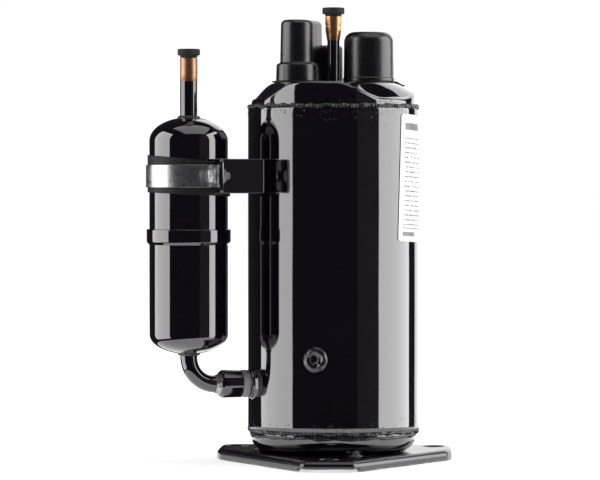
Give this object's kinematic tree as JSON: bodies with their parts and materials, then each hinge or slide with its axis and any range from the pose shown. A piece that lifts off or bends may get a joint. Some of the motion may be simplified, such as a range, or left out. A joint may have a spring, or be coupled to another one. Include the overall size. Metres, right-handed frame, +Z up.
{
  "type": "hermetic rotary refrigeration compressor",
  "caption": "Upright black cylindrical rotary compressor on a three-foot plate, with a clamped side accumulator, plugged copper tubes, terminal covers and a full pump and motor inside.",
  "frame": {"origin": "where the shell's axis meets the underside of the mounting plate, the plane that rests on the rubber grommets", "axes": "+Z up along the shell's axis, the accumulator stands on -X, the protector cover on +X, and +Y completes the right-handed frame"},
  "size_m": [0.2422, 0.188, 0.3352],
  "materials": {
    "black_gloss_paint": "thick glossy black enamel over steel",
    "weld_metal": "rough weld metal under black enamel",
    "copper": "drawn copper, slightly tarnished",
    "braze": "dull heat-stained braze metal",
    "rubber": "matte dark rubber",
    "moulded_cover": "satin black moulded plastic",
    "galvanised_steel": "zinc-plated strip",
    "zinc_fastener": "bright zinc-plated screw parts",
    "bare_steel": "oiled machined steel",
    "spring_steel": "hardened spring steel",
    "laminations": "stacked electrical steel sheets",
    "cast_iron": "machined grey iron",
    "aluminium": "die-cast aluminium",
    "enamelled_wire": "varnished copper winding",
    "lead_sleeve": "woven glass sleeve",
    "label": "white sticker with plain grey bars"
  },
  "bodies": {
    "root": {"casing_shell": "black_gloss_paint", "top_cap": "black_gloss_paint", "bottom_cap": "black_gloss_paint", "mounting_plate": "black_gloss_paint", "top_weld_bead": "weld_metal", "bottom_weld_bead": "weld_metal", "plug_weld_1": "weld_metal", "plug_weld_2": "weld_metal", "plug_weld_3": "weld_metal", "discharge_tube": "copper", "suction_tube": "copper", "suction_elbow": "black_gloss_paint", "suction_sleeve": "black_gloss_paint", "suction_braze_ring": "braze", "shell_collar": "black_gloss_paint", "inner_suction_pipe": "copper", "accumulator_upper_shell": "black_gloss_paint", "accumulator_lower_shell": "black_gloss_paint", "accumulator_standpipe": "bare_steel", "accumulator_screen": "bare_steel", "clamp_rubber": "rubber", "clamp_band": "galvanised_steel", "clamp_bracket": "black_gloss_paint", "clamp_washer": "zinc_fastener", "clamp_bolt": "zinc_fastener", "terminal_gasket": "rubber", "protector_gasket": "rubber", "terminal_body": "bare_steel", "terminal_pin_1": "bare_steel", "terminal_pin_2": "bare_steel", "terminal_pin_3": "bare_steel", "overload_protector": "moulded_cover", "protector_spring": "spring_steel", "name_label": "label", "pump_cylinder": "cast_iron", "main_bearing": "cast_iron", "sub_bearing": "cast_iron", "vane_spring": "spring_steel", "reed_stop": "spring_steel", "discharge_muffler": "bare_steel", "pump_bolt_1": "bare_steel", "pump_bolt_2": "bare_steel", "pump_bolt_3": "bare_steel", "stator_core": "laminations", "stator_windings": "enamelled_wire", "lead_block": "moulded_cover", "motor_lead_sleeve": "lead_sleeve"},
    "crank_assembly": {"crankshaft": "bare_steel", "rotor_core": "laminations", "rotor_end_ring_upper": "aluminium", "rotor_end_ring_lower": "aluminium", "balance_weight_upper": "bare_steel", "balance_weight_lower": "bare_steel"},
    "rolling_piston": {"roller": "bare_steel"},
    "sliding_vane": {"vane": "bare_steel"},
    "discharge_valve": {"discharge_reed": "spring_steel"},
    "terminal_cover_body": {"terminal_cover": "moulded_cover"},
    "protector_cover_body": {"protector_cover": "moulded_cover"},
    "discharge_plug_body": {"discharge_plug": "rubber"},
    "suction_plug_body": {"suction_plug": "rubber"}
  },
  "joints": [
    {"name": "crank_spin", "type": "hinge", "parent": "root", "child": "crank_assembly", "pos_m": [0, 0, 0.0535], "axis": [0, 0, 1], "continuous": true},
    {"name": "roller_spin", "type": "hinge", "parent": "crank_assembly", "child": "rolling_piston", "pos_m": [0.00109, -0.00406, 0.0535], "axis": [0, 0, 1], "continuous": true},
    {"name": "vane_slide", "type": "slide", "parent": "root", "child": "sliding_vane", "axis": [-0.866, 0.5, 0], "range_m": [-0.00714, 0], "deforming": ["vane_spring"]},
    {"name": "discharge_valve_flap", "type": "hinge", "parent": "root", "child": "discharge_valve", "pos_m": [0.01105, 0.02562, 0.0776], "axis": [-0.342, 0.9397, 0], "range_deg": [0, 3.4], "stiffness_Nm_per_rad": 0.5},
    {"name": "terminal_cover_lift", "type": "slide", "parent": "root", "child": "terminal_cover_body", "axis": [0, 0, 1], "range_m": [0, 0.06]},
    {"name": "protector_cover_lift", "type": "slide", "parent": "root", "child": "protector_cover_body", "axis": [0, 0, 1], "range_m": [0, 0.05]},
    {"name": "discharge_plug_pull", "type": "slide", "parent": "root", "child": "discharge_plug_body", "axis": [0, 0, 1], "range_m": [0, 0.03]},
    {"name": "suction_plug_pull", "type": "slide", "parent": "root", "child": "suction_plug_body", "axis": [0, 0, 1], "range_m": [0, 0.03]}
  ]
}
